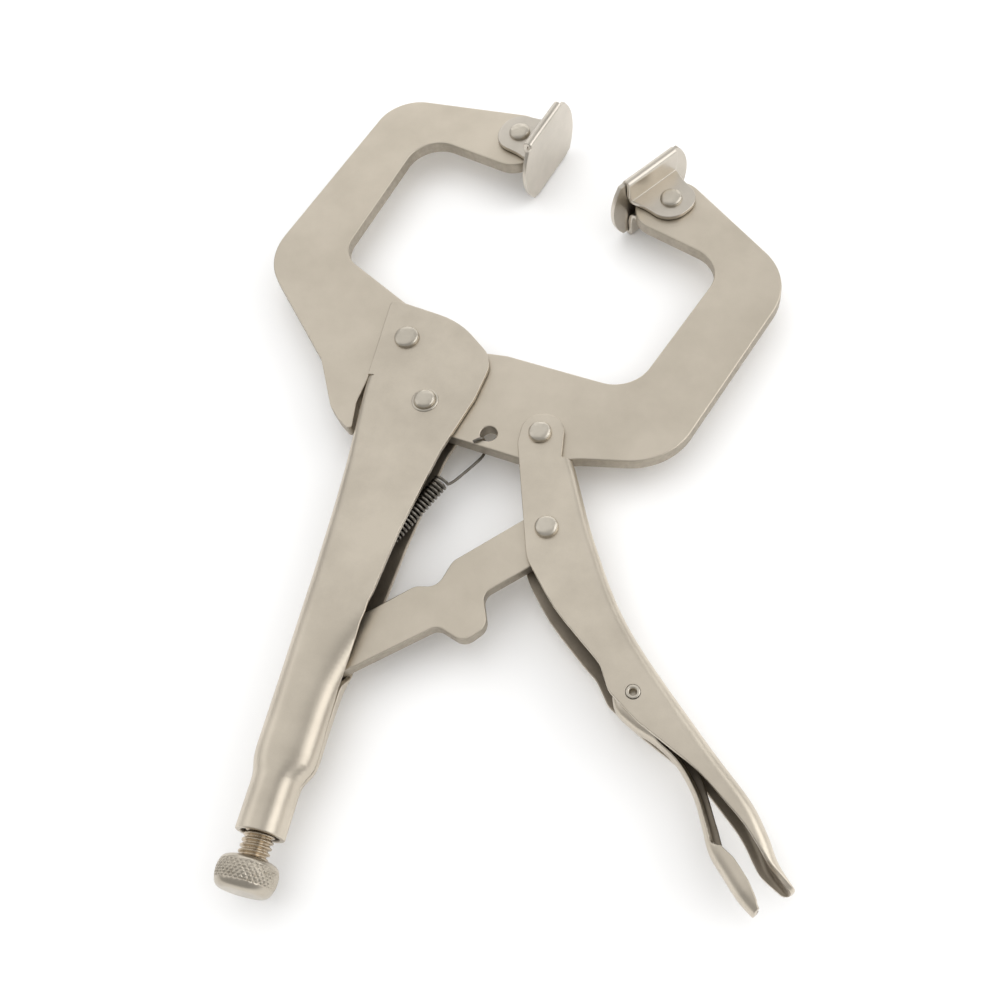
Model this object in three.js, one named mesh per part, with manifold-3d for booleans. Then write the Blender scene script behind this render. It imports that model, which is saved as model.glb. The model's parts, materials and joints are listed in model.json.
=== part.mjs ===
// Locking C-clamp pliers with swivel pads, lying flat and wide open.
// The jaw pivot is the drawing origin, +Y runs along the fixed handle towards the jaws,
// +X towards the lever side, and +Z is square to the jaw plates.
import * as THREE from "three";
import Module from "manifold-3d";
import { mergeVertices } from "three/addons/utils/BufferGeometryUtils.js";

const wasm = await Module();
wasm.setup();

// Driving dimensions, in millimetres.
const plateThickness = 4.5;
const linkThickness = 3.8;
const sheet = 1.6;
const gap = 0.3;
const wallInside = plateThickness / 2 + gap;
const wallOutside = wallInside + sheet;
const screwX = -8.8;
const tubeRadius = 6.75;
const tubeEndY = -135.8;
const boreRadius = 4.6;
const threadRadius = 4.2;
const threadPitch = 1.5;
const knobRadius = 8.1;
const knobTopY = -142.2;
const knobLength = 8.8;
const padFace = 11.5;
const padSheet = 1.5;
const padRadius = 16.5;
const padHalfHeight = 12.4;

// Pivots of the linkage in the wide-open pose.
const jawPivot = [0, 0];
const jawRivet = [-12, 22];
const leverPivot = [37.4, -5.8];
const linkPivot = [46.2, -36.5];
const linkTail = [screwX, -91];
const releasePivot = [79.4, -81];
const springHole = [21.7, -7.4];
const fixedPadPivot = [3.5, 112.6];
const movingPadPivot = [60, 89.3];
const fixedPadAngle = -16.4;
const movingPadAngle = 142.7;

// Moves the drawing so that the middle of the object's underside is the origin.
const drawingShift = [-29.59, 12.7, padHalfHeight];

function steel(color, roughness, metalness) {
  return new THREE.MeshStandardMaterial({ color, roughness, metalness });
}

const finishes = {
  satin: () => steel(0xc8beac, 0.42, 0.9),
  rolled: () => steel(0xd0c8b8, 0.28, 0.95),
  rivet: () => steel(0xd8d2c4, 0.25, 0.95),
  screw: () => steel(0xb8b0a0, 0.35, 0.95),
  spring: () => steel(0x4a463e, 0.45, 0.9),
};

// A closed outline from corner points [x, y, radius], with each corner rounded by an arc.
function roundedShape(corners) {
  const shape = new THREE.Shape();
  const points = corners.map(([x, y]) => new THREE.Vector2(x, y));
  corners.forEach(([, , radius], i) => {
    const corner = points[i];
    const before = points.at(i - 1).clone().sub(corner).normalize();
    const after = points[(i + 1) % points.length].clone().sub(corner).normalize();
    if (!radius) {
      if (i === 0) shape.moveTo(corner.x, corner.y);
      else shape.lineTo(corner.x, corner.y);
      return;
    }
    const half = Math.acos(THREE.MathUtils.clamp(before.dot(after), -1, 1)) / 2;
    const bisector = before.clone().add(after).normalize();
    const centre = corner.clone().addScaledVector(bisector, radius / Math.sin(half));
    const start = corner.clone().addScaledVector(before, radius / Math.tan(half)).sub(centre);
    const end = corner.clone().addScaledVector(after, radius / Math.tan(half)).sub(centre);
    if (i === 0) shape.moveTo(centre.x + start.x, centre.y + start.y);
    const clockwise = start.x * end.y - start.y * end.x < 0;
    shape.absarc(centre.x, centre.y, radius, start.angle(), end.angle(), clockwise);
  });
  return shape;
}

// A flat plate centred on z = middle.
function plate(corners, thickness, middle = 0, smoothness = 3) {
  const geometry = new THREE.ExtrudeGeometry(roundedShape(corners), {
    depth: thickness,
    bevelEnabled: false,
    curveSegments: smoothness,
  });
  geometry.translate(0, 0, middle - thickness / 2);
  return solid(geometry);
}

function solid(geometry) {
  const bare = geometry.clone();
  bare.deleteAttribute("normal");
  bare.deleteAttribute("uv");
  const merged = mergeVertices(bare, 1e-4);
  const mesh = new wasm.Mesh({
    numProp: 3,
    vertProperties: new Float32Array(merged.attributes.position.array),
    triVerts: new Uint32Array(merged.index.array),
  });
  return new wasm.Manifold(mesh);
}

function toGeometry(body) {
  const mesh = body.getMesh();
  const geometry = new THREE.BufferGeometry();
  geometry.setAttribute("position", new THREE.BufferAttribute(mesh.vertProperties, 3));
  geometry.setIndex(new THREE.BufferAttribute(mesh.triVerts, 1));
  geometry.computeVertexNormals();
  return geometry;
}

// A round bar along Z, used for pins and for the holes they run in.
function roundBar([x, y], radius, halfLength, sides = 20) {
  const geometry = new THREE.CylinderGeometry(radius, radius, 2 * halfLength, sides);
  geometry.rotateX(Math.PI / 2);
  geometry.translate(x, y, 0);
  return solid(geometry);
}

function block(low, high) {
  const size = high.map((value, i) => value - low[i]);
  const geometry = new THREE.BoxGeometry(...size);
  geometry.translate(...low.map((value, i) => value + size[i] / 2));
  return solid(geometry);
}

// A bar of rounded-box section that changes along its length.  Each station gives the point on
// its outer edge, the direction across the section, the width, half height and corner radius.
function sweptBar(stations, cornerSteps = 3) {
  const around = 4 * (cornerSteps + 1);
  const rows = stations.length - 1;
  const geometry = new THREE.CylinderGeometry(1, 1, 1, around, rows);
  const position = geometry.attributes.position;
  for (let i = 0; i < position.count; i++) {
    const x = position.getX(i);
    const z = position.getZ(i);
    const station = stations[Math.round((0.5 - position.getY(i)) * rows)];
    const { at, across, width, half, corner } = station;
    let along = width / 2;
    let up = 0;
    if (Math.hypot(x, z) > 0.5) {
      const turn = Math.round((Math.atan2(x, z) / (2 * Math.PI)) * around + around) % around;
      const quarter = Math.floor(turn / (cornerSteps + 1));
      const step = turn % (cornerSteps + 1);
      const angle = ((quarter + step / cornerSteps) * Math.PI) / 2;
      const alongSide = quarter === 0 || quarter === 3 ? 1 : -1;
      const upSide = quarter < 2 ? 1 : -1;
      along += alongSide * (width / 2 - corner) + corner * Math.cos(angle);
      up = upSide * (half - corner) + corner * Math.sin(angle);
    }
    position.setXYZ(i, at[0] + across[0] * along, at[1] + across[1] * along, up);
  }
  if (signedVolume(geometry) < 0) {
    const index = geometry.index.array;
    for (let i = 0; i < index.length; i += 3) [index[i], index[i + 1]] = [index[i + 1], index[i]];
  }
  return solid(geometry);
}

function signedVolume(geometry) {
  const corner = [0, 1, 2].map(() => new THREE.Vector3());
  const index = geometry.index.array;
  let volume = 0;
  for (let i = 0; i < index.length; i += 3) {
    corner.forEach((point, k) => point.fromBufferAttribute(geometry.attributes.position, index[i + k]));
    volume += corner[0].dot(corner[1].clone().cross(corner[2])) / 6;
  }
  return volume;
}

function fixedJaw() {
  const outline = [
    [15.8, 122.0, 11], [-45.3, 126.0, 15], [-69.8, 48.2, 20], [-38.2, 11.6, 8], [-29.8, -5.2, 6],
    [-25.5, -9.6, 5], [-20.35, -13.2, 1.2], [-20.7, 8.8, 0.6], [-15.5, 8.7, 2], [-5.5, 16, 3],
    [-3.5, 31.5, 3], [-16.0, 36.1, 4], [-44.2, 53.8, 10], [-30.6, 109.7, 11.3], [8.45, 96.9, 9],
  ];
  return plate(outline, plateThickness)
    .subtract(roundBar(jawRivet, 2.8, 8))
    .subtract(roundBar(fixedPadPivot, 2.6, 8));
}

function movableJaw() {
  const outline = [
    [-5.5, 11.6, 7], [-11.6, -6.4, 8], [38, -15.2, 12], [50, -11.7, 20], [76.5, -8.9, 20],
    [103.3, 63.0, 21], [59.4, 103.6, 10], [43.7, 83.1, 9], [81.6, 66.1, 11.2], [61.2, 14.3, 12],
    [20.5, 21.3, 8], [9, 21.4, 5],
  ];
  return plate(outline, plateThickness)
    .subtract(roundBar(jawPivot, 2.9, 8))
    .subtract(roundBar(leverPivot, 2.6, 8))
    .subtract(roundBar(springHole, 2.6, 8))
    .subtract(roundBar(movingPadPivot, 2.6, 8));
}

function toggleLink() {
  const outline = [
    [46.4, -26.4, 7], [21.6, -50.5, 6], [19.2, -59.0, 4.5], [13.0, -60.0, 4], [-12.4, -82.5, 4.5],
    [-13.2, -95.2, 4.1], [-7.6, -95.2, 3], [22.4, -70.7, 3.5], [31.0, -74.2, 4], [36.2, -68.2, 4.5],
    [32.7, -58.8, 3.5], [44.5, -47.8, 0], [56.4, -36.9, 7],
  ];
  return plate(outline, linkThickness).subtract(roundBar(linkPivot, 2.6, 8));
}

// The pressed channel: flat cheeks round the jaws, a folded back, and a rolled tube for the screw.
function fixedHandle() {
  const cheekFoot = 8.3;
  const outer = handleStations(0);
  const inner = handleStations(sheet);
  const plan = plate([
    [-34, cheekFoot - 0.06, 0], [-20.9, cheekFoot - 0.06, 0], [-21.2, 36.4, 2], [3, 30.8, 28], [17.9, 18, 10], [15.7, 3.5, 12],
    [9.6, -16.5, 22], [4.6, -46, 60], [0.6, -80, 40], [0.6, -140, 0], [-34, -140, 0],
  ], 40);
  const cheeks = block([-34, cheekFoot - 0.05, -wallOutside], [34, 40, wallOutside]);
  const spaceBetween = block([-40, cheekFoot - 0.05, -wallInside], [40, 44, wallInside]);
  const bore = new THREE.CylinderGeometry(boreRadius, boreRadius, 60, 28);
  bore.translate(screwX, tubeEndY + 20, 0);
  const seam = block([-6, -116, -2.7], [20, -60, 2.7]);
  return sweptBar(outer)
    .add(cheeks)
    .intersect(plan)
    .subtract(spaceBetween)
    .subtract(sweptBar(inner))
    .subtract(solid(bore))
    .subtract(seam)
    .subtract(roundBar(jawRivet, 2.8, 8))
    .subtract(roundBar(jawPivot, 2.9, 8))
    .add(block([-15.6, -61, -1.2], [-4.5, -59.4, 1.2]));
}

// Sections down the handle: outer edge X, far edge X, half height and corner radius at each Y.
function handleStations(wall) {
  const open = 40;
  const rolled = 0.6;
  const sections = [
    [8.3, -20.0, open, wallOutside, 2.6], [-12, -19.8, open, wallOutside, 2.8],
    [-26, -18.4, open, 5.0, 3.4], [-44, -17.4, open, 6.1, 4.2], [-62, -17.0, open, 6.6, 5],
    [-70, -16.9, 9, tubeRadius, 5.2], [-82, -16.8, 4.4, tubeRadius, 5.4], [-94, -16.8, 1.6, tubeRadius, 5.8],
    [-104, -16.8, rolled, tubeRadius, 6], [-113, -16.8, rolled, tubeRadius, 6],
    [-119.5, screwX - tubeRadius - 0.15, screwX + tubeRadius + 0.15, tubeRadius, 6.3],
    [-122, screwX - tubeRadius, screwX + tubeRadius, tubeRadius, 6.6],
    [tubeEndY, screwX - tubeRadius, screwX + tubeRadius, tubeRadius, 6.6],
  ];
  const kept = wall ? sections.slice(0, 9) : sections;
  return kept.map(([y, edge, far, half, corner], i) => ({
    at: [edge + wall, wall && i === 0 ? y + 2 : y],
    across: [1, 0],
    width: far - edge - 2 * wall,
    half: half - wall,
    corner: Math.max(corner - wall, 0.8),
  }));
}

// The lever's back is a long curve; its cheeks stay flat round the jaw and the link.
const leverBack = new THREE.SplineCurve([
  [44.6, -6], [50.6, -16.5], [61, -39.4], [75.1, -62.8], [98.9, -88.6], [113, -101.9], [120.6, -112.6], [126.6, -121.4],
].map(([x, y]) => new THREE.Vector2(x, y)));

function leverStations(wall) {
  const count = 11;
  const end = wall ? 0.975 : 1;
  return Array.from({ length: count + 1 }, (_, i) => {
    const u = (end * i) / count;
    const point = leverBack.getPointAt(u);
    const tangent = leverBack.getTangentAt(u);
    const across = [tangent.y, -tangent.x];
    const swell = THREE.MathUtils.smoothstep(u, 0.2, 0.6);
    const taper = THREE.MathUtils.smoothstep(u, 0.9, 1);
    const half = wallOutside + 1.4 * swell - 1.2 * taper;
    return {
      at: [point.x + across[0] * wall, point.y + across[1] * wall],
      across,
      width: 26,
      half: half - wall,
      corner: Math.max(2.4 + 1.2 * swell - wall, 0.8),
    };
  });
}

function leverHandle() {
  const cheekFoot = -13.4;
  const plan = plate([
    [31.3, 1.0, 6.4], [43.9, 1.0, 6.4], [44.6, -6.0, 2], [48.4, -12.6, 2], [60, cheekFoot, 0], [140, -90, 0],
    [126.4, -122.2, 2.2], [120.8, -121.0, 3], [112.7, -110.4, 30], [98.4, -97.0, 40], [82.2, -87.4, 12],
    [73.6, -81.0, 6], [69.4, -74.6, 8], [53.4, -60.6, 60], [42.6, -46.8, 14], [31.4, -9.9, 6],
  ], 40, 0, 4);
  const cheeks = block([20, cheekFoot, -wallOutside], [60, 8, wallOutside]);
  const between = block([20, cheekFoot, -wallInside], [64, 10, wallInside]);
  const below = block([0, -140, -20], [150, cheekFoot + 0.02, 20]);
  return sweptBar(leverStations(0))
    .intersect(below)
    .add(cheeks)
    .intersect(plan)
    .subtract(between)
    .subtract(sweptBar(leverStations(sheet)))
    .subtract(roundBar(leverPivot, 2.6, 8))
    .subtract(roundBar(linkPivot, 2.6, 8))
    .subtract(roundBar(releasePivot, 1.9, 12));
}

// A narrow channel nested in the lever, whose free end flares into a finger tab.
function releaseLever() {
  const outline = [
    [74.8, -76.6, 2.2], [73.4, -82.0, 2.5], [79.2, -88.2, 5], [93.2, -95.4, 12], [102.6, -109.6, 30], [105.6, -117.2, 8],
    [112.6, -123.6, 20], [117.2, -128.6, 1.3], [119.0, -126.6, 1.3], [111.6, -116.6, 20], [103.8, -103.8, 30],
    [95.4, -92.0, 20], [84.0, -82.0, 6],
  ];
  const hollow = [
    [70, -70, 0], [75.2, -81.4, 1.2], [80.0, -86.8, 4], [94.3, -94.1, 11], [104.0, -109.0, 30], [107.0, -116.2, 7],
    [109.6, -118.4, 0], [125, -108, 0], [100, -80, 0], [84, -68, 0],
  ];
  const half = 3.2;
  return plate(outline, 2 * half)
    .subtract(plate(hollow, 2 * (half - 1.4)))
    .add(roundBar(releasePivot, 1.6, 5.6, 20))
    .subtract(roundBar(releasePivot, 0.9, 12, 12));
}

// A rivet along Z: two domed heads joined by a shank.
function rivet(headRadius, shankRadius, headSeat, headHeight) {
  const top = headSeat + headHeight;
  const profile = [
    [0, -top], [headRadius * 0.55, -top + headHeight * 0.12], [headRadius * 0.88, -top + headHeight * 0.5],
    [headRadius, -headSeat], [shankRadius, -headSeat], [shankRadius, headSeat], [headRadius, headSeat],
    [headRadius * 0.88, top - headHeight * 0.5], [headRadius * 0.55, top - headHeight * 0.12], [0, top],
  ];
  const geometry = new THREE.LatheGeometry(profile.map(([r, z]) => new THREE.Vector2(r, z)), 18);
  geometry.rotateX(Math.PI / 2);
  return solid(geometry);
}

// A swivel pad folded from one sheet, drawn with its face square to +X and its pivot at 0, 0.
function swivelPad() {
  const foldOuter = padSheet + gap / 2;
  const foldMiddle = padFace - foldOuter;
  const backFace = padFace - 2 * padSheet - gap;
  const earIn = wallInside;
  const earOut = wallInside + padSheet;
  const foldZ = padHalfHeight - foldOuter;
  const halfSection = [
    [padFace, foldZ, 0], [foldMiddle + foldOuter * 0.7, foldZ + foldOuter * 0.7, 0],
    [foldMiddle, padHalfHeight, 0], [foldMiddle - foldOuter * 0.7, foldZ + foldOuter * 0.7, 0],
    [backFace, foldZ, 0], [backFace, earOut + 0.5, 0.4], [backFace - 0.5, earOut, 0], [-10, earOut, 0],
    [-10, earIn, 0], [backFace + padSheet - 1.4, earIn, 0], [backFace + padSheet - 0.4, earIn + 0.4, 0],
    [backFace + padSheet, earIn + 1.4, 0], [backFace + padSheet, foldZ, 0],
    [foldMiddle, foldZ + gap / 2, 0], [foldMiddle + gap / 2, foldZ, 0],
  ];
  const mirrored = halfSection.map(([n, z]) => [n, -z, 0]).reverse();
  const profile = new THREE.ExtrudeGeometry(roundedShape([...halfSection, ...mirrored]), {
    depth: 2 * padRadius + 2,
    bevelEnabled: false,
    curveSegments: 2,
  });
  profile.translate(0, 0, -padRadius - 1);
  profile.rotateX(Math.PI / 2);
  const disc = new THREE.CylinderGeometry(padRadius, padRadius, 4, 56);
  disc.rotateZ(Math.PI / 2);
  disc.translate(foldMiddle + 2, 0, 0);
  const chord = Math.sqrt(padRadius ** 2 - padHalfHeight ** 2);
  const flaps = plate([
    [foldMiddle + 0.01, chord, 0], [6.8, chord, 2], [2.6, 8.4, 6], [-7.4, 7.4, 7.3], [-7.4, -7.4, 7.3],
    [2.6, -8.4, 6], [6.8, -chord, 2], [foldMiddle + 0.01, -chord, 0],
  ], 30);
  return solid(profile).intersect(solid(disc).add(flaps)).subtract(roundBar([0, 0], 2.6, 8));
}

// The threaded rod along Y, with a plain domed tip that meets the toggle link's tail.
function adjustingScrew() {
  const tipY = linkTail[1] - 5.5;
  const knobGap = knobTopY + gap;
  const threadEnd = tipY - 13;
  const turns = Math.floor((threadEnd - knobGap - 1) / threadPitch);
  const core = threadRadius - 0.75;
  const profile = [[0, tipY], [2.4, tipY], [core, tipY - 1.2], [core, threadEnd]];
  for (let i = 0; i < turns; i++) {
    const y = threadEnd - i * threadPitch;
    profile.push([threadRadius, y - threadPitch * 0.4], [threadRadius, y - threadPitch * 0.6], [core, y - threadPitch]);
  }
  profile.push([core, knobGap], [0, knobGap]);
  const geometry = new THREE.LatheGeometry(profile.reverse().map(([r, y]) => new THREE.Vector2(r, y)), 16);
  geometry.translate(screwX, 0, 0);
  return solid(geometry);
}

// The knurled knob: a toothed rim between two plain chamfers.
function knurledKnob() {
  const teeth = 36;
  const rim = [];
  for (let i = 0; i < 2 * teeth; i++) {
    const radius = i % 2 ? knobRadius - 0.35 : knobRadius;
    const angle = (i * Math.PI) / teeth;
    rim.push(new THREE.Vector2(radius * Math.cos(angle), radius * Math.sin(angle)));
  }
  const toothed = new THREE.ExtrudeGeometry(new THREE.Shape(rim), { depth: knobLength, bevelEnabled: false });
  toothed.rotateX(Math.PI / 2);
  toothed.translate(screwX, knobTopY, 0);
  const end = knobTopY - knobLength;
  const profile = [
    [0, end], [6.2, end], [7.6, end + 0.7], [knobRadius + 0.2, end + 1.6], [knobRadius + 0.2, knobTopY - 1.4], [6.9, knobTopY], [0, knobTopY],
  ];
  const envelope = new THREE.LatheGeometry(profile.map(([r, y]) => new THREE.Vector2(r, y)), 40);
  envelope.translate(screwX, 0, 0);
  return solid(toothed).intersect(solid(envelope));
}

// An extension spring: a close coil with a straight hook to the jaw and a short hook to the tab.
class SpringPath extends THREE.Curve {
  getPoint(t, target = new THREE.Vector3()) {
    const coilTop = new THREE.Vector3(12.4, -23.5, 0);
    const coilFoot = new THREE.Vector3(-0.6, -50.6, 0);
    const axis = coilFoot.clone().sub(coilTop).normalize();
    const side = new THREE.Vector3(0, 0, 1);
    const across = side.clone().cross(axis);
    const radius = 2.3;
    const turns = 11;
    const rise = 0.14;
    const drop = 0.9;
    const hook = [[21.6, -7.6, -1.6], [21.4, -8.2, 2.4], [20.2, -12.6, 3.4], [16.6, -17.6, 2.4]];
    const tail = [[-2.6, -54.6, 0.6], [-4.8, -57.6, 2.4], [-5.6, -60.2, 2.8], [-5.6, -62.3, 1.6], [-5.4, -62.4, -0.6]];
    const coil = (s) => {
      const angle = 2 * Math.PI * turns * s + Math.PI / 2;
      return coilTop.clone().lerp(coilFoot, s)
        .addScaledVector(across, radius * Math.cos(angle))
        .addScaledVector(side, radius * Math.sin(angle));
    };
    if (t < rise) {
      const lead = new THREE.CatmullRomCurve3([...hook.map((p) => new THREE.Vector3(...p)), coil(0)]);
      return target.copy(lead.getPoint(t / rise));
    }
    if (t > drop) {
      const run = new THREE.CatmullRomCurve3([coil(1), ...tail.map((p) => new THREE.Vector3(...p))]);
      return target.copy(run.getPoint((t - drop) / (1 - drop)));
    }
    return target.copy(coil((t - rise) / (drop - rise)));
  }
}

function returnSpring() {
  const sides = 5;
  const wire = 0.5;
  const ring = Array.from({ length: sides }, (_, i) => {
    const angle = (2 * Math.PI * i) / sides;
    return new THREE.Vector2(wire * Math.cos(angle), wire * Math.sin(angle));
  });
  return new THREE.ExtrudeGeometry(new THREE.Shape(ring), {
    steps: 120,
    extrudePath: new SpringPath(),
    bevelEnabled: false,
  });
}

const group = new THREE.Group();
const drawing = new THREE.Group();
drawing.position.set(...drawingShift);
group.add(drawing);

function place(name, body, finish, [x, y] = [0, 0], turn = 0) {
  const geometry = body.isBufferGeometry ? body : toGeometry(body);
  const mesh = new THREE.Mesh(geometry, finishes[finish]());
  mesh.name = name;
  mesh.position.set(x, y, 0);
  mesh.rotation.z = THREE.MathUtils.degToRad(turn);
  drawing.add(mesh);
}

place("fixed_handle", fixedHandle(), "rolled");
place("fixed_jaw", fixedJaw(), "satin");
place("fixed_jaw_rivet", rivet(4.05, 2.5, wallOutside + gap, 1.2), "rivet", jawRivet);
place("jaw_pivot_rivet", rivet(3.6, 2.6, wallOutside + gap, 1.0), "rivet", jawPivot);
place("movable_jaw", movableJaw(), "satin");
place("lever_handle", leverHandle(), "rolled");
place("lever_rivet", rivet(3.3, 2.3, wallOutside + gap, 0.9), "rivet", leverPivot);
place("link_rivet", rivet(3.3, 2.3, wallOutside + gap, 0.9), "rivet", linkPivot);
place("toggle_link", toggleLink(), "satin");
place("release_lever", releaseLever(), "satin");
place("return_spring", returnSpring(), "spring");
place("adjusting_screw", adjustingScrew(), "screw");
place("knurled_knob", knurledKnob(), "screw");
place("fixed_pad", swivelPad(), "satin", fixedPadPivot, fixedPadAngle);
place("fixed_pad_rivet", rivet(3.5, 2.3, wallInside + padSheet + gap, 1.0), "rivet", fixedPadPivot);
place("moving_pad", swivelPad(), "satin", movingPadPivot, movingPadAngle);
place("moving_pad_rivet", rivet(3.5, 2.3, wallInside + padSheet + gap, 1.0), "rivet", movingPadPivot);

export default group;
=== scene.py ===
import json, math
import bpy, bmesh
from mathutils import Matrix, Vector, noise


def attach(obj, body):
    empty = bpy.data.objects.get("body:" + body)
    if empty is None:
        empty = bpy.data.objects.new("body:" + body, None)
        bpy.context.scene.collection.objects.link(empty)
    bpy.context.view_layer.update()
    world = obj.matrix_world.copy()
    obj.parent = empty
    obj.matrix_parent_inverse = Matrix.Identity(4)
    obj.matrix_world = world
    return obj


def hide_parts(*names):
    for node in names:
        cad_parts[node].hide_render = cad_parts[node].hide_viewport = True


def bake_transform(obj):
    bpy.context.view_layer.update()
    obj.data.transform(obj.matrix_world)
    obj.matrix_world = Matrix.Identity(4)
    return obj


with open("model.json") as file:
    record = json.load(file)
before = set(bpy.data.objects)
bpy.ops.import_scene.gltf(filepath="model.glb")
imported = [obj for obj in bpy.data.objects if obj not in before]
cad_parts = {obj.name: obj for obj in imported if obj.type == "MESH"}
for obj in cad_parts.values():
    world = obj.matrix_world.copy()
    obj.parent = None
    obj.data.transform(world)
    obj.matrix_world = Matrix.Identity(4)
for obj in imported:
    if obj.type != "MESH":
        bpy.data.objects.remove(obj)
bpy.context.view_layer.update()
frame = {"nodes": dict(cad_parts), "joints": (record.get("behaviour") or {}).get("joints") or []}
print("frame loaded:", len(frame["nodes"]), "nodes")

# Every piece is drawn in millimetres about the jaw pivot, +Y up the fixed handle, and placed here.
mm = 0.001
jawPivot = next(joint for joint in frame["joints"] if joint["name"] == "jaw_pivot")
drawingOrigin = Vector(jawPivot["pos_m"])


def place(x, y, z=0.0):
    return drawingOrigin + Vector((x, y, z)) * mm


# The camera, the white floor and the soft lights.

studio = {
    "cameraPlace": (0.0814, -0.1822, 0.3304),
    "cameraAim": (0.0003, -0.0152, 0.0124),
    "cameraRoll": -14.17,
    "lens": 45.36,
    "floorColour": (0.93, 0.93, 0.93),
    "roomLight": 0.42,
    "ceilingLight": 0.90,
    "ceilingAim": (-0.35, 0.30, 0.88),
}


def makeCamera():
    camera = bpy.data.objects.new("camera", bpy.data.cameras.new("camera"))
    camera.data.sensor_width = 36
    camera.data.lens = studio["lens"]
    camera.data.clip_start = 0.01
    where = Vector(studio["cameraPlace"])
    look = Vector(studio["cameraAim"]) - where
    level = look.to_track_quat("-Z", "Y").to_matrix().to_4x4()
    roll = Matrix.Rotation(math.radians(studio["cameraRoll"]), 4, "Z")
    camera.matrix_world = Matrix.Translation(where) @ level @ roll
    bpy.context.scene.collection.objects.link(camera)
    bpy.context.scene.camera = camera


def makeAreaLight(name, where, aim, size, power, onMetal=True):
    light = bpy.data.lights.new(name, "AREA")
    light.shape = "RECTANGLE"
    light.size, light.size_y = size
    light.energy = power
    lamp = bpy.data.objects.new(name, light)
    lamp.location = where
    lamp.visible_glossy = onMetal
    lamp.rotation_euler = (Vector(aim) - Vector(where)).to_track_quat("-Z", "Y").to_euler()
    bpy.context.scene.collection.objects.link(lamp)


def makeStudio():
    world = bpy.data.worlds.new("paleRoom")
    bpy.context.scene.world = world
    world.use_nodes = True
    nodes, links = world.node_tree.nodes, world.node_tree.links
    sky = nodes["Background"]
    coords = nodes.new("ShaderNodeTexCoord")
    toward = nodes.new("ShaderNodeVectorMath")
    toward.operation = "DOT_PRODUCT"
    toward.inputs[1].default_value = studio["ceilingAim"]
    ramp = nodes.new("ShaderNodeMapRange")
    ramp.interpolation_type = "SMOOTHSTEP"
    ramp.inputs["From Min"].default_value = 0.72
    ramp.inputs["From Max"].default_value = 0.90
    ramp.inputs["To Min"].default_value = studio["roomLight"]
    ramp.inputs["To Max"].default_value = studio["ceilingLight"]
    links.new(coords.outputs["Generated"], toward.inputs[0])
    links.new(toward.outputs["Value"], ramp.inputs["Value"])
    links.new(ramp.outputs["Result"], sky.inputs["Strength"])
    sky.inputs["Color"].default_value = (1.0, 0.995, 0.985, 1)
    makeAreaLight("rightBox", (0.62, 0.14, 0.42), (-0.02, -0.08, 0), (0.9, 0.5), 2.2)
    makeAreaLight("leftBox", (-0.62, -0.10, 0.34), (-0.03, -0.1, 0), (0.5, 0.4), 0.4)
    makeAreaLight("backBox", (-0.10, 0.9, 0.30), (0, 0, 0), (1.1, 0.4), 1.6)
    makeAreaLight("floorFill", (0.0, -0.1, 0.95), (0, 0, 0), (1.8, 1.8), 9.0, False)
    floorMesh = bpy.data.meshes.new("floor")
    reach = 3.0
    corners = [(-reach, -reach, 0), (reach, -reach, 0), (reach, reach, 0), (-reach, reach, 0)]
    floorMesh.from_pydata(corners, [], [(0, 1, 2, 3)])
    floor = bpy.data.objects.new("floor", floorMesh)
    floor.location.z = -0.0002
    bpy.context.scene.collection.objects.link(floor)
    paper = bpy.data.materials.new("palePaper")
    paper.use_nodes = True
    shader = paper.node_tree.nodes["Principled BSDF"]
    shader.inputs["Base Color"].default_value = (*studio["floorColour"], 1)
    shader.inputs["Roughness"].default_value = 0.9
    shader.inputs["Specular IOR Level"].default_value = 0.1
    floorMesh.materials.append(paper)
    bpy.context.scene.view_settings.view_transform = "Standard"


makeCamera()
makeStudio()
print("studio ready")

# The metals: every finish below is built from tumbled plating and handling marks; on the plates a third
# effect darkens upright edges, partly their own duller grey as stamped and partly painted shade.


def newGroup(name, inputs, outputs):
    group = bpy.data.node_groups.new(name, "ShaderNodeTree")
    for label, kind, value in inputs:
        socket = group.interface.new_socket(name=label, in_out="INPUT", socket_type=kind)
        socket.default_value = value
    for label, kind in outputs:
        group.interface.new_socket(name=label, in_out="OUTPUT", socket_type=kind)
    return group, group.nodes.new("NodeGroupInput"), group.nodes.new("NodeGroupOutput")


def mathNode(group, operation, a, b=None, c=None):
    node = group.nodes.new("ShaderNodeMath")
    node.operation = operation
    for slot, value in enumerate((a, b, c)):
        if value is None:
            continue
        if isinstance(value, (int, float)):
            node.inputs[slot].default_value = value
        else:
            group.links.new(value, node.inputs[slot])
    return node.outputs[0]


def noiseNode(group, coords, scale, detail, roughness=0.5):
    node = group.nodes.new("ShaderNodeTexNoise")
    node.inputs["Detail"].default_value = detail
    node.inputs["Roughness"].default_value = roughness
    group.links.new(coords, node.inputs["Vector"])
    if isinstance(scale, (int, float)):
        node.inputs["Scale"].default_value = scale
    else:
        group.links.new(scale, node.inputs["Scale"])
    return node.outputs["Fac"]


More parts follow.
